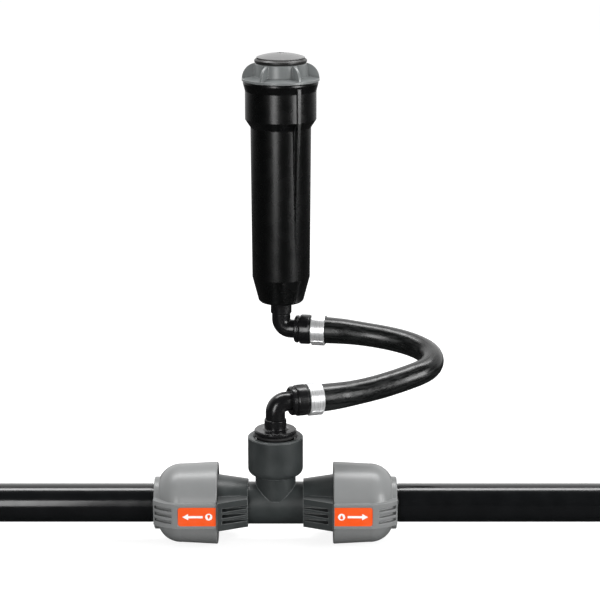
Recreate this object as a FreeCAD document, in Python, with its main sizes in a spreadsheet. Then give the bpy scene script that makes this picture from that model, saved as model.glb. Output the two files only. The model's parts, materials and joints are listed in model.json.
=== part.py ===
"""Pop-up sprinkler on a swing hose, fed from a tee in a 25 mm irrigation pipe.

Frame: millimetres, origin at the tee's centre where the pipe axis meets the branch axis,
+X along the pipe, +Y towards the back, +Z up the branch.
"""
import FreeCAD, Part
import math
import os

import Sketcher

Vector = FreeCAD.Vector
Rotation = FreeCAD.Rotation
Placement = FreeCAD.Placement
UP = Vector(0, 0, 1)

DRIVING = {
    # pipe and tee run
    "pipe_od": 25.0,
    "pipe_wall": 2.3,
    "pipe_inner_end": 31.0,
    "left_pipe_end": 192.0,
    "right_pipe_end": 223.0,
    "depth_mark": 79.0,
    "run_od": 27.4,
    "shoulder_start": 17.9,
    "shoulder_end": 36.9,
    "shoulder_small_od": 31.4,
    "shoulder_large_od": 36.9,
    "sleeve_od": 41.0,
    "sleeve_end": 66.0,
    "seal_chamber_od": 32.0,
    "seal_chamber_start": 48.0,
    "wing_height": 19.0,
    "wing_inner_reach": 19.2,
    "wing_outer_reach": 28.0,
    "slot_pitch": 4.1,
    "slot_height": 2.4,
    # branch socket
    "branch_od": 26.1,
    "socket_od": 35.5,
    "socket_foot": 19.8,
    "socket_top": 45.7,
    "socket_bore": 26.4,
    # quick-turn nut
    "nut_start": 37.3,
    "nut_skirt_end": 60.5,
    "nut_dome_end": 75.0,
    "nut_end": 78.3,
    "nut_large_od": 53.1,
    "nut_small_od": 50.8,
    "nut_collar_od": 33.8,
    "pad_height": 16.4,
    "pad_reach": 27.0,
    "label_length": 24.2,
    "label_height": 12.4,
    # swivel elbows
    "elbow_od": 12.6,
    "elbow_bore": 6.4,
    "elbow_bend": 6.8,
    "elbow_drop": 10.8,
    "swivel_od": 11.0,
    "swivel_end": 30.5,
    "lower_outlet": 68.0,
    "lower_yaw": 18.0,
    "upper_side": 3.0,
    "upper_back": 94.0,
    "upper_outlet": 91.8,
    "upper_yaw": -9.0,
    # hose, collars and clamps
    "hose_od": 16.0,
    "hose_bore": 11.0,
    "cuff_od": 18.6,
    "hose_start": 20.5,
    "cuff_end": 28.0,
    "collar_od": 20.2,
    "clamp_start": 21.2,
    "clamp_width": 9.4,
    "clamp_gauge": 0.9,
    # sprinkler case and cap
    "case_bottom": 111.2,
    "case_cone_top": 128.5,
    "case_floor": 130.0,
    "shoulder_low": 230.7,
    "shoulder_high": 236.1,
    "case_top": 261.7,
    "case_foot_od": 30.6,
    "case_low_od": 39.0,
    "case_mid_od": 40.5,
    "case_head_od": 47.6,
    "case_rim_od": 50.2,
    "inlet_bore": 21.0,
    "cap_rim_od": 51.7,
    "cap_drum_od": 36.4,
    "cap_top": 273.5,
    "fin_gauge": 1.7,
    # riser and nozzle
    "riser_od": 24.0,
    "riser_bore": 20.4,
    "riser_bottom": 131.6,
    "collar_ring_od": 35.0,
    "lid_od": 32.0,
    "lid_bottom": 276.7,
    "lid_rise": 3.4,
    "spring_wire": 1.2,
    "spring_od": 30.4,
    "spring_bottom": 139.3,
    "spring_top": 256.3,
}

SPRING_TURNS = 12
FINS = 6
HEAD_YAW = -60.0

# The hose's centreline between its two straight ends, from the upper clamp to the lower one.
HOSE_ROUTE = [
    (58.0, 85.6, 90.2),
    (75.5, 82.0, 88.2),
    (91.0, 74.5, 86.0),
    (102.0, 62.5, 83.5),
    (104.0, 48.5, 81.0),
    (98.5, 36.5, 78.4),
    (84.5, 29.0, 75.2),
    (68.5, 23.0, 71.6),
    (52.5, 17.6, 69.2),
]
HOSE_FIRST_RUN = 17.5
ARC_SHARE = 0.45


class Size:
    """A length with the sheet formula that gives it."""

    def __init__(self, number, formula):
        self.number = number
        self.formula = formula

    def __add__(self, other):
        return Size(self.number + number_of(other), f"({self.formula} + {formula_of(other)})")

    def __sub__(self, other):
        return Size(self.number - number_of(other), f"({self.formula} - {formula_of(other)})")

    def __rsub__(self, other):
        return Size(number_of(other) - self.number, f"({formula_of(other)} - {self.formula})")

    def __truediv__(self, other):
        return Size(self.number / number_of(other), f"({self.formula} / {formula_of(other)})")

    def __neg__(self):
        return Size(-self.number, f"(0 - {self.formula})")


def number_of(value):
    return value.number if isinstance(value, Size) else float(value)


def formula_of(value):
    return value.formula if isinstance(value, Size) else str(float(value))


class Sheet:
    """The spreadsheet of driving dimensions, read by name."""

    def __init__(self, document, values):
        self.sheet = document.addObject("Spreadsheet::Sheet", "Dims")
        self.values = values
        for row, (name, value) in enumerate(values.items(), start=1):
            self.sheet.set(f"A{row}", name)
            self.sheet.set(f"B{row}", str(value))
            self.sheet.setAlias(f"B{row}", name)

    def __getattr__(self, name):
        return Size(float(self.values[name]), f"Dims.{name}")


doc = FreeCAD.newDocument("PopUpSprinkler")
d = Sheet(doc, DRIVING)
doc.recompute()
parts = []


# ---------------------------------------------------------------- helpers

def new_body(label, placement=None):
    """An empty body that becomes the node of that name."""
    body = doc.addObject("PartDesign::Body", label)
    body.Label = label
    body.Placement = placement or Placement()
    parts.append(body)
    return body


def bind(target, name, value):
    """Set a length property, from the sheet where it has a formula."""
    setattr(target, name, number_of(value))
    if isinstance(value, Size):
        target.setExpression(name, value.formula)


def arc_between(start, end, radius):
    """The arc of a circle from start to end; its centre is to the left for a positive radius."""
    chord = end - start
    middle = start + chord * 0.5
    left = Vector(-chord.y, chord.x, 0).normalize()
    rise = math.sqrt(max(radius * radius - (chord.Length / 2) ** 2, 0.0))
    centre = middle + left * math.copysign(rise, radius)
    first, last = (start, end) if radius > 0 else (end, start)
    first_angle = math.atan2(first.y - centre.y, first.x - centre.x)
    last_angle = math.atan2(last.y - centre.y, last.x - centre.x)
    if last_angle < first_angle:
        last_angle += 2 * math.pi
    circle = Part.Circle(centre, UP, abs(radius))
    return Part.ArcOfCircle(circle, first_angle, last_angle)


def sketch_of(body, plane_role, loops, lift=0.0):
    """A sketch of closed outlines. A corner is (u, v), or (u, v, radius) where an arc reaches it."""
    sketch = body.newObject("Sketcher::SketchObject", f"{body.Name}_outline")
    plane = next(f for f in body.Origin.OriginFeatures if f.Role == plane_role)
    sketch.AttachmentSupport = (plane, [""])
    sketch.MapMode = "FlatFace"
    sketch.AttachmentOffset = Placement(Vector(0, 0, number_of(lift)), Rotation())
    if isinstance(lift, Size):
        sketch.setExpression("AttachmentOffset.Base.z", lift.formula)
    for loop in loops:
        add_loop(sketch, loop)
    return sketch


def add_loop(sketch, loop):
    """Draw one closed outline and fix every corner."""
    base = len(sketch.Geometry)
    count = len(loop)
    corners = [Vector(number_of(c[0]), number_of(c[1]), 0) for c in loop]
    edges = []
    tips = []
    for i in range(count):
        goal = loop[(i + 1) % count]
        start, end = corners[i], corners[(i + 1) % count]
        if len(goal) == 3:
            edges.append(arc_between(start, end, number_of(goal[2])))
            tips.append((1, 2) if number_of(goal[2]) > 0 else (2, 1))
        else:
            edges.append(Part.LineSegment(start, end))
            tips.append((1, 2))
    sketch.addGeometry(edges, False)
    for i in range(count):
        after = (i + 1) % count
        sketch.addConstraint(
            Sketcher.Constraint("Coincident", base + i, tips[i][1], base + after, tips[after][0])
        )
    for i in range(count):
        fix(sketch, base + i, tips[i][0], "DistanceX", loop[i][0], -2)
        fix(sketch, base + i, tips[i][0], "DistanceY", loop[i][1], -1)
        goal = loop[(i + 1) % count]
        if len(goal) == 3:
            size = abs(number_of(goal[2]))
            sketch.addConstraint(Sketcher.Constraint("Radius", base + i, size))


def fix(sketch, edge, tip, kind, value, zero_axis):
    """Hold one coordinate of a corner, on the axis itself where it is zero."""
    if abs(number_of(value)) < 1e-9:
        sketch.addConstraint(Sketcher.Constraint("PointOnObject", edge, tip, zero_axis))
        return
    index = sketch.addConstraint(
        Sketcher.Constraint(kind, -1, 1, edge, tip, number_of(value))
    )
    if isinstance(value, Size):
        sketch.setExpression(f"Constraints[{index}]", value.formula)


def revolve(body, loops, axis, kind="Revolution", angle=360.0, midplane=False):
    """Turn outlines in the XZ plane about the body's X axis (H) or Z axis (V)."""
    sketch = sketch_of(body, "XZ_Plane", loops)
    feature = body.newObject(f"PartDesign::{kind}", f"{body.Name}_{kind}")
    feature.Profile = sketch
    feature.ReferenceAxis = (sketch, [f"{axis}_Axis"])
    feature.Angle = angle
    feature.Midplane = midplane
    return feature


def prism(body, plane_role, loops, length, kind="Pad", lift=0.0):
    """Pad or pocket outlines by length, half to each side of the plane."""
    sketch = sketch_of(body, plane_role, loops, lift)
    feature = body.newObject(f"PartDesign::{kind}", f"{body.Name}_{kind}")
    feature.Profile = sketch
    bind(feature, "Length", length)
    feature.Midplane = True
    return feature


def around(body, feature, count):
    """Repeat a feature evenly about the body's Z axis."""
    pattern = body.newObject("PartDesign::PolarPattern", f"{body.Name}_pattern")
    pattern.Originals = [feature]
    axis = next(f for f in body.Origin.OriginFeatures if f.Role == "Z_Axis")
    pattern.Axis = (axis, [""])
    pattern.Angle = 360.0
    pattern.Occurrences = count
    body.Tip = pattern
    return pattern


def turned(label, outline, axis="V", placement=None):
    """A piece made by turning one outline."""
    body = new_body(label, placement)
    revolve(body, [outline], axis)
    return body


def ring(label, centre_radius, section_radius, along, axis, placement=None):
    """An O-ring of round section."""
    body = new_body(label, placement)
    sketch = sketch_of(body, "XZ_Plane", [])
    across, up = (along, centre_radius) if axis == "H" else (centre_radius, along)
    sketch.addGeometry(
        Part.Circle(Vector(number_of(across), number_of(up), 0), UP, section_radius), False
    )
    sketch.addConstraint(Sketcher.Constraint("Radius", 0, section_radius))
    fix(sketch, 0, 3, "DistanceX", across, -2)
    fix(sketch, 0, 3, "DistanceY", up, -1)
    feature = body.newObject("PartDesign::Revolution", f"{body.Name}_Revolution")
    feature.Profile = sketch
    feature.ReferenceAxis = (sketch, [f"{axis}_Axis"])
    feature.Angle = 360.0
    return body


def rectangle(low_u, low_v, high_u, high_v):
    return [(low_u, low_v), (high_u, low_v), (high_u, high_v), (low_u, high_v)]


def mirrored(loop, flip_u, flip_v):
    """The outline reflected in one or both axes, arcs left out."""
    return [(-u if flip_u else u, -v if flip_v else v) for u, v in loop]


def four_ways(loop):
    """An outline with its three reflections."""
    return [mirrored(loop, u, v) for u in (False, True) for v in (False, True)]


def at(x, y, z, yaw=0.0):
    return Placement(Vector(x, y, z), Rotation(UP, yaw))


TURNED_ABOUT = Placement(Vector(), Rotation(Vector(0, 1, 0), 180))
LOWER = at(0, 0, d.lower_outlet.number, d.lower_yaw.number)
UPPER = at(d.upper_side.number, d.upper_back.number, d.upper_outlet.number, d.upper_yaw.number)
UPPER_FLIPPED = UPPER.multiply(Placement(Vector(), Rotation(Vector(1, 0, 0), 180)))
SPRINKLER = at(d.upper_side.number, d.upper_back.number, 0, HEAD_YAW)
SIDES = (("right", Placement()), ("left", TURNED_ABOUT))


# ---------------------------------------------------------------- tee and pipe

def tee_body():
    """The moulded tee: run, shoulders with slotted wings, threaded sleeves and branch socket."""
    body = new_body("tee_body")
    run = d.run_od / 2
    chamber = d.seal_chamber_od / 2
    half = [
        (d.shoulder_start, run),
        (d.shoulder_start, d.shoulder_small_od / 2),
        (d.shoulder_end, d.shoulder_large_od / 2),
        (38.8, d.shoulder_large_od / 2),
        (38.8, 19.4),
        (42.4, 19.4),
        (42.4, d.sleeve_od / 2),
        (d.sleeve_end, d.sleeve_od / 2),
        (d.sleeve_end, chamber),
        (d.seal_chamber_start, chamber),
        (d.seal_chamber_start, 12.65),
        (30.4, 12.65),
        (30.4, 10.2),
    ]
    other = [(-u, v) for u, v in reversed(half)]
    revolve(body, [half + other], "H")
    wing = [
        (d.shoulder_start, 13.5),
        (d.shoulder_start, d.wing_inner_reach),
        (d.shoulder_end, d.wing_outer_reach),
        (d.shoulder_end, 13.5),
    ]
    prism(body, "XY_Plane", four_ways(wing), d.wing_height)
    slot = [(17.0, 16.4), (34.0, 20.2), (34.0, 32.0), (17.0, 32.0)]
    for row in (-1, 0, 1):
        lift = d.slot_pitch if row > 0 else -d.slot_pitch
        prism(body, "XY_Plane", four_ways(slot), d.slot_height, "Pocket", lift if row else 0.0)
    branch = d.branch_od / 2
    socket = d.socket_od / 2
    revolve(
        body,
        [[
            (0.0, 5.0),
            (branch, 5.0),
            (branch, d.socket_foot),
            (socket - 3.2, d.socket_foot + 0.6),
            (socket, d.socket_foot + 4.4, 4.2),
            (socket, d.socket_top - 0.6),
            (socket - 0.6, d.socket_top),
            (0.0, d.socket_top),
        ]],
        "V",
    )
    revolve(
        body,
        [[
            (0.0, 0.0),
            (9.5, 0.0),
            (9.5, 22.0),
            (d.socket_bore / 2, 24.0),
            (d.socket_bore / 2, d.socket_top - 1.6),
            (14.6, d.socket_top),
            (14.6, 50.0),
            (0.0, 50.0),
        ]],
        "V",
        "Groove",
    )
    revolve(body, [rectangle(-30.4, 0.0, 30.4, 10.2)], "H", "Groove")


def pipes():
    """Both pipe stubs, each scribed with the ring that marks how deep it is pushed in."""
    outer = d.pipe_od / 2
    mark_width, mark_depth = 0.8, 0.25
    for (side, place), end in zip(SIDES, (d.right_pipe_end, d.left_pipe_end)):
        outline = rectangle(d.pipe_inner_end, outer - d.pipe_wall, end, outer)
        scribed = [
            (d.depth_mark + mark_width, outer),
            (d.depth_mark + mark_width, outer - mark_depth),
            (d.depth_mark, outer - mark_depth),
            (d.depth_mark, outer),
        ]
        turned(f"{side}_pipe", outline[:3] + scribed + outline[3:], "H", place)


def pipe_grips():
    """What holds and seals each pipe inside its nut."""
    for side, place in SIDES:
        ring(f"{side}_pipe_seal", 14.12, 1.6, 51.0, "H", place)
        pressure = [(53.0, 12.7), (57.4, 12.7), (57.4, 15.8), (53.0, 15.8)]
        turned(f"{side}_pressure_ring", pressure, "H", place)
        body = new_body(f"{side}_grip_ring", place)
        teeth = []
        for tooth in range(3):
            foot = 68.2 - 3.0 * tooth
            teeth += [(foot, 12.95), (foot - 1.5, 12.56)]
        grip = [(57.7, 12.95), (57.7, 15.7), (66.4, 15.7), (66.4, 17.8), (73.0, 14.6), (73.0, 12.95)]
        revolve(body, [grip + teeth], "H")
        prism(body, "XY_Plane", [rectangle(56.0, 10.0, 75.0, 19.0)], 3.0, "Pocket")


def quick_turn_nuts():
    """The clamp nuts: skirt, dome and collar, with a slotted pad that carries the label."""
    skirt, waist, collar = d.nut_large_od / 2, d.nut_small_od / 2, d.nut_collar_od / 2
    for side, place in SIDES:
        body = new_body(f"{side}_nut", place)
        revolve(
            body,
            [[
                (d.nut_start, 20.95),
                (d.nut_start, skirt - 0.5),
                (d.nut_start + 0.5, skirt),
                (d.nut_skirt_end, waist),
                (d.nut_dome_end, collar, -15.5),
                (d.nut_end - 0.5, collar),
                (d.nut_end, collar - 0.5),
                (d.nut_end, 12.95),
                (75.9, 12.95),
                (75.9, 14.4),
                (69.3, 19.0),
                (67.4, 20.95),
                (42.0, 20.95),
                (42.0, 19.85),
                (40.0, 19.85),
                (40.0, 20.95),
            ]],
            "H",
        )
        pad = [
            (d.nut_start, 21.6),
            (d.nut_start, d.pad_reach),
            (61.5, d.pad_reach),
            (68.0, 25.2, -26.0),
            (d.nut_end, 18.4, -26.0),
            (d.nut_end, 13.4),
            (76.2, 13.4),
            (70.2, 20.0),
            (68.0, 21.6),
        ]
        flipped = [(c[0], -c[1]) if len(c) == 2 else (c[0], -c[1], 26.0) for c in pad]
        prism(body, "XY_Plane", [pad, flipped], d.pad_height)
        slot = [(66.2, 23.6), (77.4, 16.6), (77.4, 30.0), (66.2, 30.0)]
        slots = [slot, mirrored(slot, False, True)]
        for row in (-1, 0, 1):
            lift = d.slot_pitch if row > 0 else -d.slot_pitch
            prism(body, "XY_Plane", slots, d.slot_height - 0.1, "Pocket", lift if row else 0.0)
        recess = rectangle(d.nut_start + 0.4, -30.0, 62.2, 0.4 - d.pad_reach)
        prism(body, "XY_Plane", [recess], d.label_height + 0.2, "Pocket")
        label(side, place)


def label(side, place):
    """The coloured plate let into the pad's front face."""
    body = new_body(f"{side}_label", place)
    start = d.nut_start + 0.5
    end = start + d.label_length
    half = d.label_height / 2
    corner = 1.8
    sketch = sketch_of(
        body,
        "XZ_Plane",
        [[
            (start, -half),
            (end - corner, -half),
            (end, -half + corner, corner),
            (end, half - corner),
            (end - corner, half, corner),
            (start, half),
        ]],
        26.65,
    )
    feature = body.newObject("PartDesign::Pad", f"{body.Name}_Pad")
    feature.Profile = sketch
    feature.Length = 0.45


# ---------------------------------------------------------------- swivel elbows

def threaded_adapters():
    """The screwed-in swivel sockets; each is drawn from the elbow's centre along its drop."""
    swivel = 5.55
    lower = [
        (swivel, -10.95), (6.6, -10.95), (7.1, -11.4), (7.1, -17.0), (8.6, -17.6),
        (12.9, -17.6), (13.55, -18.3), (13.55, -19.6), (12.9, -20.4), (10.3, -20.4),
        (10.3, -23.2), (13.1, -23.8), (13.1, -37.0), (12.3, -38.0), (6.6, -38.0),
        (6.6, -28.8), (swivel, -28.8),
    ]
    turned("lower_adapter", lower, "V", LOWER)
    upper = [
        (swivel, -10.95), (6.6, -10.95), (7.1, -11.4), (7.1, -17.0), (8.4, -17.4),
        (8.4, -19.4), (10.4, -19.6), (10.4, -33.0), (9.8, -34.0), (6.6, -34.0),
        (6.6, -28.8), (swivel, -28.8),
    ]
    turned("upper_adapter", upper, "V", UPPER_FLIPPED)
    ring("adapter_seal", 11.7, 1.25, -21.7, "V", LOWER)
    washer = [(6.8, -34.2), (10.2, -34.2), (10.2, -35.7), (6.8, -35.7)]
    turned("inlet_washer", washer, "V", UPPER_FLIPPED)


def elbow(label_text, place):
    """A swivel elbow: drop leg with a seal groove and snap bead, bend, and barbed outlet."""
    body = new_body(label_text, place)
    outer = d.elbow_od / 2
    bore = d.elbow_bore / 2
    for radius, kind in ((outer, "AdditivePipe"), (bore, "SubtractivePipe")):
        if kind == "SubtractivePipe":
            swivel = d.swivel_od / 2
            revolve(
                body,
                [[
                    (0.0, -9.0), (outer, -9.0), (outer, -d.elbow_drop), (swivel, -d.elbow_drop),
                    (swivel, -19.0), (4.35, -19.0), (4.35, -21.4), (swivel, -21.4),
                    (swivel, -28.9), (5.9, -29.2), (5.9, -29.6), (5.2, -d.swivel_end),
                    (0.0, -d.swivel_end),
                ]],
                "V",
            )
            barbs = [(8.5, 0.0), (8.5, outer), (20.3, outer), (20.3, 4.9)]
            for barb in range(3):
                foot = 22.0 + 4.0 * barb
                barbs += [(foot, 5.42), (foot + 3.0, 4.9)]
            revolve(body, [barbs + [(36.0, 4.9), (36.0, 0.0)]], "H")
        profile = sketch_of(body, "XY_Plane", [], -(d.elbow_drop - 1.0))
        profile.addGeometry(Part.Circle(Vector(), UP, radius.number), False)
        profile.addConstraint(Sketcher.Constraint("Coincident", 0, 3, -1, 1))
        size = profile.addConstraint(Sketcher.Constraint("Radius", 0, radius.number))
        profile.setExpression(f"Constraints[{size}]", radius.formula)
        spine = body.newObject("Sketcher::SketchObject", f"{body.Name}_spine")
        plane = next(f for f in body.Origin.OriginFeatures if f.Role == "XZ_Plane")
        spine.AttachmentSupport = (plane, [""])
        spine.MapMode = "FlatFace"
        bend = d.elbow_bend.number
        start = 1.0 - d.elbow_drop.number
        arc = Part.ArcOfCircle(Part.Circle(Vector(bend, -bend, 0), UP, bend), math.pi / 2, math.pi)
        spine.addGeometry(Part.LineSegment(Vector(0, start, 0), Vector(0, -bend, 0)), False)
        spine.addGeometry(arc, False)
        spine.addGeometry(Part.LineSegment(Vector(bend, 0, 0), Vector(9.0, 0, 0)), False)
        pipe = body.newObject(f"PartDesign::{kind}", f"{body.Name}_{kind}")
        pipe.Profile = profile
        pipe.Spine = (spine, ["Edge1", "Edge2", "Edge3"])
    revolve(body, [rectangle(0.0, -32.0, bore, 1.5 - d.elbow_drop)], "V", "Groove")
    revolve(body, [rectangle(8.8, 0.0, 38.0, bore)], "H", "Groove")


def hose_ends():
    """Collars, clamps and swivel seals at both ends of the hose."""
    collar = d.collar_od / 2
    outline = [
        (9.6, 6.4), (9.6, 8.5), (10.5, 9.4), (11.9, 9.4), (12.2, 8.7), (12.9, 8.7),
        (13.2, 9.6), (14.0, collar), (19.6, collar), (20.3, 9.6), (20.3, 6.4),
    ]
    for end, place, drop in (("lower", LOWER, LOWER), ("upper", UPPER, UPPER_FLIPPED)):
        turned(f"{end}_collar", outline, "H", place)
        ring(f"{end}_elbow_seal", 4.98, 0.52, -20.2, "V", drop)
        clamp(f"{end}_clamp", place)


def clamp(label_text, place):
    """A stainless band clamp: band, overlapping tongue below and closed ear at the back."""
    body = new_body(label_text, place)
    inner = d.cuff_od / 2 + 0.05
    outer = inner + d.clamp_gauge
    start = d.clamp_start
    end = start + d.clamp_width
    edge = 0.3
    band = [
        (start, inner), (start, outer - edge), (start + edge, outer), (end - edge, outer),
        (end, outer - edge), (end, inner),
    ]
    revolve(body, [band], "H")
    tongue = rectangle(start + 0.5, -outer - 0.45, end - 0.5, -outer + 0.2)
    revolve(body, [tongue], "H", angle=110.0, midplane=True)
    ear = [(-2.6, outer - 0.4), (2.6, outer - 0.4), (1.9, outer + 2.4), (-1.9, outer + 2.4)]
    sketch = sketch_of(body, "YZ_Plane", [[(v, u) for u, v in ear]], start + 1.2)
    feature = body.newObject("PartDesign::Pad", f"{body.Name}_ear")
    feature.Profile = sketch
    bind(feature, "Length", d.clamp_width - 2.4)


# ---------------------------------------------------------------- hose

def on_leg(place, distance):
    """A point on the axis of an elbow's outlet."""
    return place.multVec(Vector(distance, 0, 0))


def smooth_path(route, skipped):
    """Straight runs joined by tangent arcs, as large as their two runs allow.

    The path starts and stops short of the route's two ends by the skipped length.
    """
    edges = []
    radii = []
    here = route[0] + (route[1] - route[0]).normalize() * skipped
    finish = route[-1] + (route[-2] - route[-1]).normalize() * skipped
    for before, corner, after in zip(route, route[1:], route[2:]):
        arriving = corner - before
        leaving = after - corner
        turn = arriving.getAngle(leaving)
        cut = ARC_SHARE * min(arriving.Length, leaving.Length)
        radii.append(cut / math.tan(turn / 2))
        arriving.normalize()
        leaving.normalize()
        first = corner - arriving * cut
        last = corner + leaving * cut
        inward = (leaving - arriving).normalize()
        centre_distance = radii[-1] / math.cos(turn / 2)
        middle = corner + inward * (centre_distance - radii[-1])
        edges.append(Part.LineSegment(here, first).toShape())
        edges.append(Part.Arc(first, middle, last).toShape())
        here = last
    edges.append(Part.LineSegment(here, finish).toShape())
    return Part.Wire(edges), radii


def hose_cuff(place, bore, outer):
    """The swollen end of the hose, which lies under its clamp."""
    start, end, cuff = d.hose_start.number, d.cuff_end.number, d.cuff_od.number / 2
    corners = [(start, bore), (start, cuff), (end - 2.5, cuff), (end, outer), (end, bore)]
    wire = Part.makePolygon([Vector(x, 0, z) for x, z in corners + corners[:1]])
    turned_end = Part.Face(wire).revolve(Vector(), Vector(1, 0, 0), 360)
    turned_end.Placement = place
    return turned_end


def swept(path, radius):
    """A round bar along a path."""
    start = path.Edges[0].valueAt(path.Edges[0].FirstParameter)
    heading = path.Edges[0].tangentAt(path.Edges[0].FirstParameter)
    section = Part.Wire([Part.makeCircle(radius, start, heading)])
    return path.makePipeShell([section], True, False)


def hose():
    """The flexible hose, pushed onto a barbed elbow at each end and swollen under the clamps."""
    outer, bore = d.hose_od.number / 2, d.hose_bore.number / 2
    start = d.hose_start.number
    route = [on_leg(UPPER, start), on_leg(UPPER, start + HOSE_FIRST_RUN)]
    route += [Vector(*point) for point in HOSE_ROUTE]
    route += [on_leg(LOWER, start + HOSE_FIRST_RUN), on_leg(LOWER, start)]
    path, radii = smooth_path(route, d.cuff_end.number - start)
    middle = swept(path, outer).cut(swept(path, bore))
    section_volume = math.pi * (outer * outer - bore * bore) * path.Length
    volume_ratio = middle.Volume / section_volume
    solid = middle
    for place in (UPPER, LOWER):
        solid = solid.fuse(hose_cuff(place, bore, outer))
    feature = doc.addObject("Part::Feature", "hose")
    feature.Label = "hose"
    feature.Shape = solid.Solids[0]
    feature.Placement = Placement()
    parts.append(feature)
    whole = path.Length + 2 * (d.cuff_end.number - d.hose_start.number)
    print("hose length", round(whole, 1), "mm; arc radii", [round(r, 1) for r in radii])
    print("tube volume against section times length", round(volume_ratio, 4))


# ---------------------------------------------------------------- sprinkler

def sprinkler_case():
    """The case: tapered barrel, wide head for the cap, inlet below and one long rib."""
    body = new_body("sprinkler_case", SPRINKLER)
    foot, low, mid = d.case_foot_od / 2, d.case_low_od / 2, d.case_mid_od / 2
    head, rim = d.case_head_od / 2, d.case_rim_od / 2
    bottom, top = d.case_bottom, d.case_top
    revolve(
        body,
        [[
            (d.inlet_bore / 2, bottom),
            (foot - 1.2, bottom),
            (foot, bottom + 1.2),
            (low, d.case_cone_top),
            (mid, d.shoulder_low),
            (head, d.shoulder_high),
            (head, top - 6.5),
            (rim, top - 1.6),
            (rim, top - 0.3),
            (rim - 0.3, top),
            (24.1, top),
            (24.1, top - 1.2),
            (22.0, top - 1.2),
            (22.0, d.shoulder_high + 3.0),
            (18.3, d.shoulder_low + 2.0),
            (17.6, d.case_floor),
            (6.0, d.case_floor),
            (6.0, 128.0),
            (d.inlet_bore / 2, 128.0),
        ]],
        "V",
    )
    rib_top, rib_foot = top - 3.0, 147.0
    outline = [(-0.35, rib_foot), (0.35, rib_foot), (1.3, rib_top), (-1.3, rib_top)]
    sketch = sketch_of(body, "YZ_Plane", [outline], 18.9)
    pad = body.newObject("PartDesign::Pad", f"{body.Name}_rib")
    pad.Profile = sketch
    pad.Length = 6.1
    prism(body, "XZ_Plane", [[(19.8, 146.0), (25.0, 236.0), (32.0, 236.0), (32.0, 146.0)]], 6.0, "Pocket")
    inside = [
        (0.0, d.shoulder_low + 2.0), (18.3, d.shoulder_low + 2.0), (22.0, d.shoulder_high + 3.0),
        (22.0, top), (0.0, top),
    ]
    revolve(body, [inside], "V", "Groove")


def screw_cap():
    """The cap that closes the case: threaded plug, sloping rim, drum and six curved fins."""
    body = new_body("screw_cap", SPRINKLER)
    rim, drum, top = d.cap_rim_od / 2, d.cap_drum_od / 2, d.cap_top
    seat = d.case_top + 0.3
    revolve(
        body,
        [[
            (12.6, top),
            (drum - 1.3, top),
            (drum - 0.9, top - 0.4),
            (drum - 0.2, seat + 3.0),
            (rim, seat + 1.5),
            (rim, seat),
            (21.8, seat),
            (21.8, 242.0),
            (19.2, 242.0),
            (19.2, 258.6),
            (16.3, 258.6),
            (16.3, top - 3.6),
            (12.6, top - 3.6),
        ]],
        "V",
    )
    fin = prism(
        body,
        "XZ_Plane",
        [[
            (16.6, seat + 0.6), (rim - 0.15, seat + 0.6), (rim - 0.15, seat + 1.4),
            (17.4, top - 0.1, 10.4), (16.6, top - 0.1),
        ]],
        d.fin_gauge,
    )
    around(body, fin, FINS)


def cap_inserts():
    """Gasket, wiper seal and spring seat that the cap holds."""
    top = d.case_top
    turned("cap_gasket", rectangle(22.0, top - 1.15, 23.9, top + 0.25), "V", SPRINKLER)
    lip = d.cap_top - 3.8
    wiper = [
        (12.25, 259.0), (16.2, 259.0), (16.2, lip), (12.05, lip), (12.05, lip - 1.2),
        (13.2, lip - 2.6), (13.2, 261.6), (12.25, 260.6),
    ]
    turned("wiper_seal", wiper, "V", SPRINKLER)
    turned("spring_seat", rectangle(12.4, d.spring_top + 0.1, 19.0, 258.5), "V", SPRINKLER)


def riser_group():
    """The ratchet ring, the riser that turns in it, its foot seal and its filter."""
    bottom = d.riser_bottom
    outer, bore, top = d.riser_od / 2, d.riser_bore / 2, d.cap_top - 2.8
    turned("ratchet_ring", rectangle(12.1, 134.9, 17.1, 139.1), "V", SPRINKLER)
    riser = [
        (8.2, bottom), (16.9, bottom), (16.9, bottom + 3.0), (outer, bottom + 3.0),
        (outer, top), (bore, top), (bore, bottom + 3.0), (8.2, bottom + 3.0),
    ]
    turned("riser", riser, "V", SPRINKLER)
    turned("riser_foot_seal", rectangle(13.0, 130.2, 16.6, bottom - 0.05), "V", SPRINKLER)
    body = new_body("filter_screen", SPRINKLER)
    cup = [
        (0.0, 166.0), (9.9, 166.0), (9.9, 134.7), (8.6, 134.7), (8.6, 164.6), (0.0, 164.6),
    ]
    revolve(body, [cup], "V")
    window = prism(body, "XY_Plane", [rectangle(6.0, -1.1, 12.0, 1.1)], 24.0, "Pocket", 149.5)
    around(body, window, 10)


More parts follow.
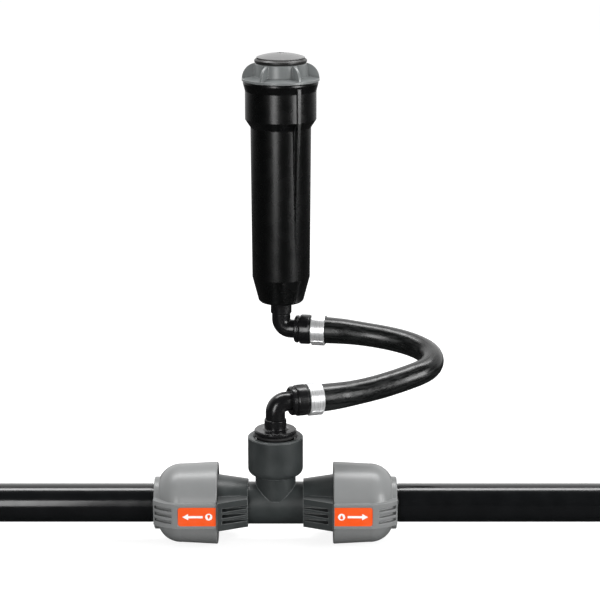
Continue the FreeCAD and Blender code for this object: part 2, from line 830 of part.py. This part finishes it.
def nozzle_group():
    """The spray head on top of the riser: nozzle, pattern collar, domed lid and flow screw."""
    outer, bore = d.riser_od / 2, d.riser_bore / 2
    lid, base, top = d.lid_od / 2, d.lid_bottom, d.cap_top
    nozzle = [
        (2.1, 252.0), (bore - 0.1, 252.0), (bore - 0.1, top - 2.7), (outer, top - 2.7),
        (outer, top + 0.1), (8.0, top + 0.1), (8.0, base - 0.02), (2.1, base - 0.02),
    ]
    body = turned("nozzle", nozzle, "V", SPRINKLER)
    port = prism(body, "XY_Plane", [rectangle(4.4, -1.3, 6.8, 1.3)], 30.0, "Pocket", 262.0)
    around(body, port, 4)
    ring_outer = d.collar_ring_od / 2
    pattern_collar = [
        (8.05, top + 0.3), (ring_outer - 0.9, top + 0.3), (ring_outer, top + 1.2, 0.9),
        (ring_outer, base - 1.2),
        (ring_outer - 1.2, base - 0.15), (ring_outer - 2.4, base - 0.15),
        (ring_outer - 2.4, base - 1.3), (8.05, base - 1.3),
    ]
    turned("pattern_collar", pattern_collar, "V", SPRINKLER)
    rise = d.lid_rise
    radius = (lid.number ** 2 + (rise.number - 0.7) ** 2) / (2 * (rise.number - 0.7))
    dome = [
        (2.3, base), (lid - 0.3, base), (lid, base + 0.7),
        (2.3, base + rise - 2.3 ** 2 / (2 * radius), radius),
    ]
    turned("nozzle_lid", dome, "V", SPRINKLER)
    body = turned(
        "flow_screw",
        [
            (0.0, 250.0), (1.2, 251.5), (2.05, 254.0), (2.05, base + 1.0), (2.2, base + 1.2),
            (2.2, base + rise - 0.6), (1.9, base + rise - 0.3), (0.0, base + rise - 0.3),
        ],
        "V",
        SPRINKLER,
    )
    prism(body, "XY_Plane", [rectangle(-3.0, -0.35, 3.0, 0.35)], 1.8, "Pocket", base + rise - 0.3)


def return_spring():
    """The coil spring that pulls the riser back down."""
    wire = d.spring_wire.number
    radius = (d.spring_od.number - wire) / 2
    low = d.spring_bottom.number + wire / 2
    rise = d.spring_top.number - wire / 2 - low
    helix = Part.makeHelix(rise / SPRING_TURNS, rise, radius)
    section = Part.Wire([Part.makeCircle(wire / 2, Vector(radius, 0, 0), Vector(0, 1, 0))])
    coil = Part.Wire(helix).makePipeShell([section], True, True)
    feature = doc.addObject("Part::Feature", "return_spring")
    feature.Label = "return_spring"
    feature.Shape = coil
    feature.Placement = at(d.upper_side.number, d.upper_back.number, low)
    parts.append(feature)


# ---------------------------------------------------------------- build and export

def failed(document):
    return [o.Name for o in document.Objects if "Invalid" in o.State or "Error" in o.State]


def main():
    tee_body()
    pipes()
    pipe_grips()
    quick_turn_nuts()
    threaded_adapters()
    elbow("lower_elbow", LOWER)
    elbow("upper_elbow", UPPER_FLIPPED)
    hose_ends()
    hose()
    sprinkler_case()
    screw_cap()
    cap_inserts()
    riser_group()
    nozzle_group()
    return_spring()
    doc.recompute()
    broken = failed(doc)
    if broken:
        raise RuntimeError(f"objects that failed: {broken}")
    os.makedirs("parts", exist_ok=True)
    for part in parts:
        shape = part.Shape
        if shape.isNull() or not shape.isValid() or not shape.Solids:
            raise RuntimeError(f"{part.Label} has no valid solid")
        shape.exportStep(f"parts/{part.Label}.step")
        box = shape.BoundBox
        print(f"{part.Label:18s} solids {len(shape.Solids)} volume {shape.Volume:9.1f}",
              f"z {box.ZMin:.1f} to {box.ZMax:.1f}")


main()
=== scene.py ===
"""Looks for the pop-up sprinkler on its swing hose.

Camera, hose, return spring, label marks, materials, floor, world and lights.
"""
import json
import math

import bmesh
import bpy
from mathutils import Matrix, Vector


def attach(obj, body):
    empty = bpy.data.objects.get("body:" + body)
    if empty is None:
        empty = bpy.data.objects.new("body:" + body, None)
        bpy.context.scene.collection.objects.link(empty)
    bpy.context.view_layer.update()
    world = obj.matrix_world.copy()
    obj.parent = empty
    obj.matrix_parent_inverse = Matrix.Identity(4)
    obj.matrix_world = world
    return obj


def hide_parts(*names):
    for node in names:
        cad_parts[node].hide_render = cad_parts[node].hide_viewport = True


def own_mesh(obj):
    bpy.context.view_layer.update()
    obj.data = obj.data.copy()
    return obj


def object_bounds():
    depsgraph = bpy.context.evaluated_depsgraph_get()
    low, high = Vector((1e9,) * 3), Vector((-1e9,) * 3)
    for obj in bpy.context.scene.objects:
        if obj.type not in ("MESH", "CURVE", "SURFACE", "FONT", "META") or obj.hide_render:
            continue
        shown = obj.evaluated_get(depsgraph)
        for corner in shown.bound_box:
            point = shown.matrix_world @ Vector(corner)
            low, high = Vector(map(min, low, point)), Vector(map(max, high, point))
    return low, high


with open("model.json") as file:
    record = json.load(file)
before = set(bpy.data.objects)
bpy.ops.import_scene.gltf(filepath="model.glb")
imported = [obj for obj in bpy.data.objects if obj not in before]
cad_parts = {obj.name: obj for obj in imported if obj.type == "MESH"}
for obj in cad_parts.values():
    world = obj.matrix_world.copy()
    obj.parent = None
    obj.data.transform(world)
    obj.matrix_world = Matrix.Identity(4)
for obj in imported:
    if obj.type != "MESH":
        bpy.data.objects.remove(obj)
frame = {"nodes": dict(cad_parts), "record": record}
cad_low, cad_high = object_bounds()
scene = bpy.context.scene
MM = 0.001

# ---------------------------------------------------------------- camera

# Solved from the photo: about 1.26 m in front, looking 14.4 degrees down.
CAMERA_PLACE = Vector((15.8, -1256.6, 458.4)) * MM
CAMERA_TILT = math.radians(90.0 - 14.4)
CAMERA_LENS = 123.0

camera_data = bpy.data.cameras.new("camera")
camera_data.lens = CAMERA_LENS
camera_data.sensor_width = 36.0
camera_data.clip_start = 0.01
camera_data.clip_end = 50.0
camera = bpy.data.objects.new("camera", camera_data)
camera.location = CAMERA_PLACE
camera.rotation_euler = (CAMERA_TILT, 0.0, 0.0)
scene.collection.objects.link(camera)
scene.camera = camera
scene.view_settings.view_transform = "Standard"


def mesh_piece(name, mesh):
    """An object in the scene made from a bmesh, which is freed."""
    data = bpy.data.meshes.new(name)
    mesh.to_mesh(data)
    mesh.free()
    piece = bpy.data.objects.new(name, data)
    scene.collection.objects.link(piece)
    return piece


# ---------------------------------------------------------------- hose

HOSE_DIAMETER = 16.0 * MM
CUFF_SHARE = 18.6 / 16.0
HOSE_ROUTE = [
    (23.25, 90.79, 91.8),
    (40.53, 88.06, 91.8),
    (58.0, 85.6, 90.2),
    (75.5, 82.0, 88.2),
    (91.0, 74.5, 86.0),
    (102.0, 62.5, 83.5),
    (104.0, 48.5, 81.0),
    (98.5, 36.5, 78.4),
    (84.5, 29.0, 75.2),
    (68.5, 23.0, 71.6),
    (52.5, 17.6, 69.2),
    (36.14, 11.74, 68.0),
    (19.50, 6.33, 68.0),
]
# How much wider than the free hose each end point is, where the hose swells over the barbs.
SWELL = {0: CUFF_SHARE, 1: 1.11}


def make_hose():
    """One smooth tube along the route, swollen at both ends."""
    curve = bpy.data.curves.new("hose_piece", "CURVE")
    curve.dimensions = "3D"
    curve.resolution_u = 16
    curve.bevel_depth = 1.0
    curve.bevel_resolution = 10
    curve.use_fill_caps = True
    spline = curve.splines.new("NURBS")
    count = len(HOSE_ROUTE)
    spline.points.add(count - 1)
    for index, point in enumerate(HOSE_ROUTE):
        spline.points[index].co = [value * MM for value in point] + [1.0]
        from_end = min(index, count - 1 - index)
        spline.points[index].radius = SWELL.get(from_end, 1.0) * HOSE_DIAMETER / 2
    spline.order_u = 3
    spline.use_endpoint_u = True
    piece = bpy.data.objects.new("hose_piece", curve)
    scene.collection.objects.link(piece)
    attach(piece, "swing_arm")
    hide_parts("hose")
    return piece


hose = make_hose()

# ---------------------------------------------------------------- return spring

SPRING_AXIS = (3.0 * MM, 94.0 * MM)
SPRING_LOW = 139.9 * MM
SPRING_HIGH = 255.7 * MM
SPRING_RADIUS = 14.6 * MM
SPRING_WIRE = 0.6 * MM
SPRING_TURNS = 12
CLOSED_PITCH = 2.1 * SPRING_WIRE
SPRING_STEPS = 48
WIRE_SIDES = 10


def make_spring():
    """The coil spring as a mesh tube with closed end turns."""
    mesh = bmesh.new()
    open_height = SPRING_HIGH - SPRING_LOW - 2 * CLOSED_PITCH
    rings = []
    total = (SPRING_TURNS + 2) * SPRING_STEPS
    for step in range(total + 1):
        turn = step / SPRING_STEPS
        share = min(max((turn - 1.0) / SPRING_TURNS, 0.0), 1.0)
        closed = min(turn, 1.0) + max(turn - 1.0 - SPRING_TURNS, 0.0)
        height = SPRING_LOW + CLOSED_PITCH * closed + open_height * share
        angle = 2 * math.pi * turn
        outward = Vector((math.cos(angle), math.sin(angle), 0.0))
        centre = Vector((*SPRING_AXIS, height)) + outward * SPRING_RADIUS
        ring = []
        for side in range(WIRE_SIDES):
            around = 2 * math.pi * side / WIRE_SIDES
            offset = outward * math.cos(around) + Vector((0, 0, 1)) * math.sin(around)
            ring.append(mesh.verts.new(centre + offset * SPRING_WIRE))
        rings.append(ring)
    for near, far in zip(rings, rings[1:]):
        for side in range(WIRE_SIDES):
            after = (side + 1) % WIRE_SIDES
            mesh.faces.new((near[side], near[after], far[after], far[side]))
    mesh.faces.new(list(reversed(rings[0])))
    mesh.faces.new(rings[-1])
    bmesh.ops.recalc_face_normals(mesh, faces=mesh.faces)
    for face in mesh.faces:
        face.smooth = True
    piece = mesh_piece("spring_piece", mesh)
    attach(piece, "sprinkler")
    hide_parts("return_spring")
    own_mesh(piece)
    return piece


spring = make_spring()

# ---------------------------------------------------------------- label marks

# In millimetres. The label starts this far from the tee's centre.
LABEL_START = 37.8
MARK_FACE = -27.10
MARK_LIFT = 0.06
MARK_SINK = 0.04
OUTLINE_POINTS = 48
DROP_HALF = 1.35
DROP_STRETCH = 1.15
DISC_RADIUS = 2.3
DISC_PLACE = 4.5
ARROW_START = 8.3
ARROW_NECK = 17.6
ARROW_TIP = 21.4
ARROW_HALF = 0.75
ARROW_HEAD_HALF = 2.1


def raised(mesh, outline, hole=()):
    """Add a thin plate of that outline, standing off the label's front face."""
    back, front = (MARK_FACE + MARK_SINK) * MM, (MARK_FACE - MARK_LIFT) * MM
    loops = [outline, hole] if hole else [outline]
    walls = []
    for loop in loops:
        behind = [mesh.verts.new((x * MM, back, z * MM)) for x, z in loop]
        before = [mesh.verts.new((x * MM, front, z * MM)) for x, z in loop]
        walls.append((behind, before))
        for i in range(len(loop)):
            j = (i + 1) % len(loop)
            mesh.faces.new((behind[i], behind[j], before[j], before[i]))
    for layer in (0, 1):
        outer = walls[0][layer]
        if not hole:
            mesh.faces.new(outer)
            continue
        inner = walls[1][layer]
        for i in range(len(outer)):
            j = (i + 1) % len(outer)
            mesh.faces.new((outer[i], outer[j], inner[j], inner[i]))


def outlines(centre):
    """A disc and the water drop cut out of it, with as many points."""
    disc, drop = [], []
    for i in range(OUTLINE_POINTS):
        angle = 2 * math.pi * i / OUTLINE_POINTS
        disc.append((centre + DISC_RADIUS * math.sin(angle), DISC_RADIUS * math.cos(angle)))
        width = DROP_HALF * math.sin(angle) * math.sin(angle / 2) ** 1.5
        drop.append((centre + width, DROP_HALF * math.cos(angle) * DROP_STRETCH))
    return disc, drop


def make_mark(side, flip):
    """A plain drop in a disc and an arrow along the pipe, on one label."""
    mesh = bmesh.new()
    raised(mesh, *outlines(LABEL_START + DISC_PLACE))
    start, neck, tip = (LABEL_START + v for v in (ARROW_START, ARROW_NECK, ARROW_TIP))
    raised(mesh, [
        (start, -ARROW_HALF), (neck, -ARROW_HALF), (neck, -ARROW_HEAD_HALF), (tip, 0.0),
        (neck, ARROW_HEAD_HALF), (neck, ARROW_HALF), (start, ARROW_HALF),
    ])
    if flip:
        bmesh.ops.transform(mesh, matrix=Matrix.Rotation(math.pi, 4, "Y"), verts=mesh.verts)
    bmesh.ops.recalc_face_normals(mesh, faces=mesh.faces)
    piece = mesh_piece(f"{side}_label_mark", mesh)
    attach(piece, f"{side}_nut_body")
    return piece


marks = [make_mark("right", False), make_mark("left", True)]

# ---------------------------------------------------------------- materials

# How each end of the hose is turned about Z, which the lines on its clamp follow.
LEG_YAW = {"lower": math.radians(18.0), "upper": math.radians(-9.0)}


class Net:
    """A material under construction: its node tree and its shader."""

    def __init__(self, name):
        self.material = bpy.data.materials.new(name)
        self.material.use_nodes = True
        self.tree = self.material.node_tree
        self.shader = self.tree.nodes["Principled BSDF"]
        self.place = self.add("ShaderNodeTexCoord").outputs["Object"]

    def add(self, kind, **inputs):
        """A node, with its inputs set to a value or joined to a socket."""
        node = self.tree.nodes.new(kind)
        for key, value in inputs.items():
            self.feed(node.inputs[key.replace("_", " ")], value)
        return node

    def feed(self, socket, value):
        if isinstance(value, bpy.types.NodeSocket):
            self.tree.links.new(value, socket)
        else:
            socket.default_value = value

    def set(self, **inputs):
        for key, value in inputs.items():
            self.feed(self.shader.inputs[key.replace("_", " ")], value)

    def math(self, operation, first, second=0.0):
        node = self.tree.nodes.new("ShaderNodeMath")
        node.operation = operation
        self.feed(node.inputs[0], first)
        self.feed(node.inputs[1], second)
        return node.outputs[0]

    def noise(self, feature, detail=3.0, turn=0.0, place=None):
        """Noise with features of that size in metres along each axis, turned about Z."""
        mapping = self.add("ShaderNodeMapping", Vector=place or self.place)
        mapping.vector_type = "TEXTURE"
        mapping.inputs["Rotation"].default_value = (0.0, 0.0, turn)
        mapping.inputs["Scale"].default_value = feature
        texture = self.add("ShaderNodeTexNoise", Vector=mapping.outputs[0])
        texture.inputs["Scale"].default_value = 1.0
        texture.inputs["Detail"].default_value = detail
        return texture.outputs["Fac"]

    def span(self, value, low, high, to_low, to_high):
        node = self.add("ShaderNodeMapRange")
        for index, number in enumerate((value, low, high, to_low, to_high)):
            self.feed(node.inputs[index], number)
        return node.outputs[0]

    def blend(self, share, first, second, mode="MIX"):
        """Two colours mixed. The node's colour sockets are inputs 6 and 7 and output 2."""
        node = self.tree.nodes.new("ShaderNodeMix")
        node.data_type = "RGBA"
        node.blend_type = mode
        self.feed(node.inputs[0], share)
        self.feed(node.inputs[6], first)
        self.feed(node.inputs[7], second)
        return node.outputs[2]

    def edges(self, radius, full=0.80):
        """A softened normal, and how far it leans from the true one, which is large on edges."""
        soft = self.add("ShaderNodeBevel", Radius=radius)
        soft.samples = 6
        true = self.add("ShaderNodeNewGeometry").outputs["Normal"]
        dot = self.tree.nodes.new("ShaderNodeVectorMath")
        dot.operation = "DOT_PRODUCT"
        self.feed(dot.inputs[0], soft.outputs[0])
        self.feed(dot.inputs[1], true)
        lean = self.span(dot.outputs["Value"], 1.0 - (1.0 - full) / 4, full, 0.0, 1.0)
        return soft.outputs[0], lean

    def bump(self, layers, normal):
        """Bump layers, each (height socket, depth in metres), one on top of the other."""
        for height, depth in layers:
            node = self.add("ShaderNodeBump", Height=height, Normal=normal)
            node.inputs["Strength"].default_value = 1.0
            node.inputs["Distance"].default_value = depth
            normal = node.outputs[0]
        return normal


def rgb(red, green, blue):
    return (red, green, blue, 1.0)


def moulded(name, colour, rubbed_and_lit_colour, roughness, spread, grain, depth, edge=0.3 * MM, vary=0.14,
            edge_lightening=0.55, full=0.80, flow=None, flow_depth=0.0, scuffs=0.0):
    """Moulded or extruded plastic: faint mottling, fine grain, edges and creases lighter, partly
    abrasion and partly painted highlight.
    """
    net = Net(name)
    normal, edge_mask = net.edges(edge, full)
    cloud = net.noise((14 * MM,) * 3, 4.0)
    patch = net.noise((3.5 * MM,) * 3, 5.0)
    fine = net.noise((grain,) * 3, 2.0)
    tone = net.span(cloud, 0.3, 0.7, 1.0 - vary, 1.0 + vary)
    speck = net.span(fine, 0.35, 0.65, 1.0 - vary / 3, 1.0 + vary / 3)
    shade = net.math("MULTIPLY", tone, speck)
    grey = net.add("ShaderNodeCombineColor", Red=shade, Green=shade, Blue=shade).outputs[0]
    body = net.blend(1.0, colour, grey, "MULTIPLY")
    # Edges and creases, concave ones included, are mixed towards the lighter colour: abrasion on
    # outer edges, painted highlight in creases and along fillets.
    rubbed = net.math("MULTIPLY", edge_mask, net.span(patch, 0.35, 0.6, 0.6, 1.0))
    rubbed = net.math("MULTIPLY", rubbed, edge_lightening)
    scratch = net.noise((0.12 * MM, 14 * MM, 14 * MM), 2.0, 0.6)
    scratch = net.math("MULTIPLY", net.span(scratch, 0.68, 0.80, 0.0, scuffs), patch)
    share = net.math("MAXIMUM", rubbed, scratch)
    net.set(Base_Color=net.blend(share, body, rubbed_and_lit_colour))
    handled = net.noise((7 * MM,) * 3, 0.5)
    net.set(Roughness=net.span(handled, 0.2, 0.8, roughness - spread, roughness + spread))
    layers = [(fine, depth)]
    if flow:
        layers.append((net.noise(flow, 3.0), flow_depth))
    net.set(Normal=net.bump(layers, normal))
    return net.material


def hose_material():
    """Extruded PE hose: glossy, slightly wavy, with dull rubbed streaks along it."""
    net = Net("hose_rubber")
    along = net.add("ShaderNodeUVMap").outputs[0]
    wave = net.noise((9 * MM,) * 3, 2.0)
    streak = net.noise((0.05, 0.03, 1.0), 5.0, place=along)
    line = net.noise((0.6, 0.012, 1.0), 3.0, place=along)
    fine = net.noise((0.5 * MM,) * 3, 2.0)
    tone = net.span(streak, 0.45, 0.72, 0.0, 0.75)
    net.set(Base_Color=net.blend(tone, rgb(0.004, 0.0045, 0.0045), rgb(0.016, 0.017, 0.017)))
    net.set(Roughness=net.span(streak, 0.35, 0.7, 0.20, 0.40))
    normal = net.add("ShaderNodeNewGeometry").outputs["Normal"]
    layers = [(wave, 0.25 * MM), (line, 0.008 * MM), (streak, 0.015 * MM), (fine, 0.003 * MM)]
    net.set(Normal=net.bump(layers, normal))
    net.shader.inputs["Specular IOR Level"].default_value = 0.55
    return net.material


def steel(name, colour, roughness, turn, brushed, depth, metallic=0.9):
    """Rolled or drawn steel: fine lines round the piece, faint stains and soft edges."""
    net = Net(name)
    normal, edge_mask = net.edges(0.18 * MM)
    lines = net.noise(brushed, 3.0, turn)
    stain = net.noise((4 * MM,) * 3, 4.0)
    dull = rgb(*[share * 0.72 for share in colour[:3]])
    body = net.blend(net.span(stain, 0.35, 0.7, 0.0, 0.35), colour, dull)
    body = net.blend(net.math("MULTIPLY", edge_mask, 0.35), body, rgb(0.9, 0.9, 0.9))
    net.set(Base_Color=body)
    net.set(Roughness=net.span(lines, 0.3, 0.7, roughness - 0.07, roughness + 0.1))
    net.set(Normal=net.bump([(lines, depth), (stain, 0.03 * MM)], normal))
    net.shader.inputs["Metallic"].default_value = metallic
    net.shader.inputs["Anisotropic"].default_value = 0.3
    return net.material


def label_material(name, colour, faded):
    """Printed plate: even ink with slight fading, a fine print screen and a satin film."""
    net = Net(name)
    normal, edge_mask = net.edges(0.15 * MM)
    cloud = net.noise((6 * MM,) * 3, 4.0)
    dots = net.noise((0.18 * MM,) * 3, 1.0)
    fading = net.span(cloud, 0.35, 0.7, 0.0, 0.18)
    screen = net.span(dots, 0.4, 0.7, 0.0, 0.12)
    body = net.blend(net.math("ADD", fading, screen), colour, faded)
    net.set(Base_Color=net.blend(net.math("MULTIPLY", edge_mask, 0.3), body, faded))
    net.set(Roughness=net.span(cloud, 0.3, 0.7, 0.3, 0.42))
    net.set(Normal=net.bump([(dots, 0.004 * MM)], normal))
    return net.material


PLASTICS = {
    "pipe_black": dict(
        colour=rgb(0.005, 0.0055, 0.006), rubbed_and_lit_colour=rgb(0.05, 0.05, 0.05),
        roughness=0.17, spread=0.03, grain=0.9 * MM, depth=0.002 * MM,
        flow=(60 * MM, 1.4 * MM, 1.4 * MM), flow_depth=0.012 * MM, scuffs=0.15,
    ),
    # On the tee the lighter edge colour and a more sensitive edge mask draw thin light lines where
    # the branch meets the run: painted highlight.
    "tee_plastic": dict(
        colour=rgb(0.029, 0.0335, 0.0335), rubbed_and_lit_colour=rgb(0.24, 0.255, 0.255),
        roughness=0.38, spread=0.05, grain=0.35 * MM, depth=0.005 * MM,
        edge=0.6 * MM, edge_lightening=0.7, full=0.93,
    ),
    "nut_plastic": dict(
        colour=rgb(0.195, 0.20, 0.20), rubbed_and_lit_colour=rgb(0.55, 0.55, 0.55),
        roughness=0.33, spread=0.015, grain=0.4 * MM, depth=0.003 * MM,
        edge=0.7 * MM, vary=0.035, edge_lightening=0.45,
    ),
    "fitting_black": dict(
        colour=rgb(0.006, 0.006, 0.0065), rubbed_and_lit_colour=rgb(0.07, 0.07, 0.07),
        roughness=0.24, spread=0.05, grain=0.5 * MM, depth=0.002 * MM,
        edge=0.5 * MM, scuffs=0.1,
    ),
    "seal_rubber": dict(
        colour=rgb(0.010, 0.010, 0.010), rubbed_and_lit_colour=rgb(0.03, 0.03, 0.03),
        roughness=0.62, spread=0.08, grain=0.3 * MM, depth=0.02 * MM,
    ),
    "case_black": dict(
        colour=rgb(0.0010, 0.0012, 0.0012), rubbed_and_lit_colour=rgb(0.10, 0.105, 0.105),
        roughness=0.27, spread=0.03, grain=0.45 * MM, depth=0.0015 * MM,
        edge=0.5 * MM, flow=(6 * MM, 6 * MM, 90 * MM), flow_depth=0.02 * MM, scuffs=0.06,
    ),
    "cap_grey": dict(
        colour=rgb(0.155, 0.165, 0.165), rubbed_and_lit_colour=rgb(0.50, 0.51, 0.51),
        roughness=0.31, spread=0.02, grain=0.4 * MM, depth=0.003 * MM,
        edge=0.45 * MM, vary=0.05, edge_lightening=0.8,
    ),
    "lid_grey": dict(
        colour=rgb(0.14, 0.14, 0.14), rubbed_and_lit_colour=rgb(0.5, 0.5, 0.5),
        roughness=0.36, spread=0.03, grain=0.4 * MM, depth=0.004 * MM,
        edge=0.4 * MM, vary=0.05,
    ),
    "head_black": dict(
        colour=rgb(0.010, 0.010, 0.010), rubbed_and_lit_colour=rgb(0.08, 0.08, 0.08),
        roughness=0.4, spread=0.06, grain=0.4 * MM, depth=0.012 * MM,
    ),
    "inner_plastic": dict(
        colour=rgb(0.60, 0.60, 0.56), rubbed_and_lit_colour=rgb(0.75, 0.75, 0.72),
        roughness=0.42, spread=0.06, grain=0.5 * MM, depth=0.010 * MM, vary=0.04,
    ),
    "riser_black": dict(
        colour=rgb(0.009, 0.009, 0.0095), rubbed_and_lit_colour=rgb(0.06, 0.06, 0.06),
        roughness=0.25, spread=0.04, grain=0.5 * MM, depth=0.002 * MM,
        flow=(3 * MM, 3 * MM, 60 * MM), flow_depth=0.01 * MM, scuffs=0.15,
    ),
}
FINISH = {name: moulded(name, **look) for name, look in PLASTICS.items()}
FINISH["label_print"] = label_material(
    "label_print", rgb(0.84, 0.078, 0.002), rgb(0.86, 0.13, 0.02),
)
FINISH["spring_steel"] = steel(
    "spring_steel", rgb(0.55, 0.55, 0.55), roughness=0.28, turn=0.0,
    brushed=(0.5 * MM, 0.5 * MM, 0.2 * MM), depth=0.006 * MM,
)
CLAMP_FINISH = {
    end: steel(
        f"clamp_steel_{end}", rgb(0.95, 0.955, 0.96), roughness=0.30, turn=yaw,
        brushed=(0.12 * MM, 25 * MM, 25 * MM), depth=0.0012 * MM, metallic=0.72,
    )
    for end, yaw in LEG_YAW.items()
}
MARK_FINISH = label_material("mark_white", rgb(0.86, 0.86, 0.85), rgb(0.90, 0.70, 0.60))


def paint(piece, material):
    """Give a piece one material in every slot."""
    slots = piece.data.materials
    if not len(slots):
        slots.append(material)
    for index in range(len(slots)):
        slots[index] = material


slot_of = {row["node"]: row["material_slot"] for row in frame["record"]["subparts"]}
for node, piece in frame["nodes"].items():
    if slot_of[node] == "clamp_steel":
        paint(piece, CLAMP_FINISH[node.split("_")[0]])
    elif slot_of[node] in FINISH:
        paint(piece, FINISH[slot_of[node]])
paint(hose, hose_material())
paint(spring, FINISH["spring_steel"])
for mark in marks:
    paint(mark, MARK_FINISH)

# ---------------------------------------------------------------- floor, world and lights

FLOOR_HALF = 9.0
FLOOR_GAP = 0.3 * MM
FLOOR_GLOW = 0.82
MIRRORED_GLOW = 0.9
MIRRORED_FROM, MIRRORED_TO = 0.8, 2.4
FILL_STRENGTH = 0.45
BACKDROP_STRENGTH = 0.95
# The world that glossy surfaces mirror: its strength goes from 0.0 where the direction's Y is -0.1
# to 1.3 where it is 0.9.
ROOM = (-0.1, 0.9, 0.0, 1.3)
CENTRE = Vector((0.016, 0.04, 0.12))


def make_floor():
    """A pale floor just under the nuts, which glows so that the background reads white."""
    mesh = bmesh.new()
    height = cad_low.z - FLOOR_GAP
    corners = [(-1, -1), (1, -1), (1, 1), (-1, 1)]
    mesh.faces.new([mesh.verts.new((x * FLOOR_HALF, y * FLOOR_HALF, height)) for x, y in corners])
    floor = mesh_piece("floor", mesh)
    net = Net("floor_paint")
    speck = net.noise((1.5 * MM,) * 3, 2.0)
    ray = net.add("ShaderNodeLightPath").outputs
    pale = net.blend(speck, rgb(0.42, 0.42, 0.42), rgb(0.45, 0.45, 0.45))
    net.set(Base_Color=net.blend(ray["Is Glossy Ray"], pale, rgb(0.03, 0.03, 0.03)))
    split = net.add("ShaderNodeSeparateXYZ", Vector=net.place)
    far_back = net.span(split.outputs["Y"], MIRRORED_FROM, MIRRORED_TO, 0.0, MIRRORED_GLOW)
    mirrored = net.math("MULTIPLY", ray["Is Glossy Ray"], far_back)
    seen = net.math("MULTIPLY", ray["Is Camera Ray"], FLOOR_GLOW)
    net.set(Emission_Color=rgb(1.0, 1.0, 1.0), Emission_Strength=net.math("ADD", seen, mirrored))
    net.shader.inputs["Roughness"].default_value = 0.9
    net.shader.inputs["Specular IOR Level"].default_value = 0.0
    paint(floor, net.material)


def make_world():
    """Even white fill, with a darker room in front for glossy surfaces to mirror."""
    world = bpy.data.worlds.new("studio")
    world.use_nodes = True
    tree = world.node_tree
    back = tree.nodes["Background"]
    place = tree.nodes.new("ShaderNodeTexCoord")
    split = tree.nodes.new("ShaderNodeSeparateXYZ")
    tree.links.new(place.outputs["Generated"], split.inputs[0])
    depth = tree.nodes.new("ShaderNodeMapRange")
    tree.links.new(split.outputs["Y"], depth.inputs[0])
    for index, number in enumerate(ROOM, start=1):
        depth.inputs[index].default_value = number
    light_path = tree.nodes.new("ShaderNodeLightPath")
    choose = tree.nodes.new("ShaderNodeMix")
    tree.links.new(light_path.outputs["Is Glossy Ray"], choose.inputs[0])
    choose.inputs[2].default_value = FILL_STRENGTH
    tree.links.new(depth.outputs[0], choose.inputs[3])
    show = tree.nodes.new("ShaderNodeMix")
    tree.links.new(light_path.outputs["Is Camera Ray"], show.inputs[0])
    tree.links.new(choose.outputs[0], show.inputs[2])
    show.inputs[3].default_value = BACKDROP_STRENGTH
    tree.links.new(show.outputs[0], back.inputs["Strength"])
    back.inputs["Color"].default_value = rgb(1.0, 1.0, 1.0)
    scene.world = world


def softbox(name, place, width, height, power):
    """A rectangular soft light aimed at the object's middle."""
    data = bpy.data.lights.new(name, "AREA")
    data.shape = "RECTANGLE"
    data.size = width
    data.size_y = height
    data.energy = power
    lamp = bpy.data.objects.new(name, data)
    lamp.location = place
    lamp.rotation_mode = "QUATERNION"
    lamp.rotation_quaternion = (Vector(place) - CENTRE).to_track_quat("Z", "Y")
    lamp.visible_camera = False
    scene.collection.objects.link(lamp)


make_floor()
make_world()
softbox("left_front", (-0.47, -1.20, 0.30), 0.40, 0.80, 8.0)
softbox("right_front", (1.10, -0.72, 0.30), 0.55, 0.80, 13.0)
softbox("overhead", (0.0, 0.36, 1.25), 1.6, 0.32, 18.0)
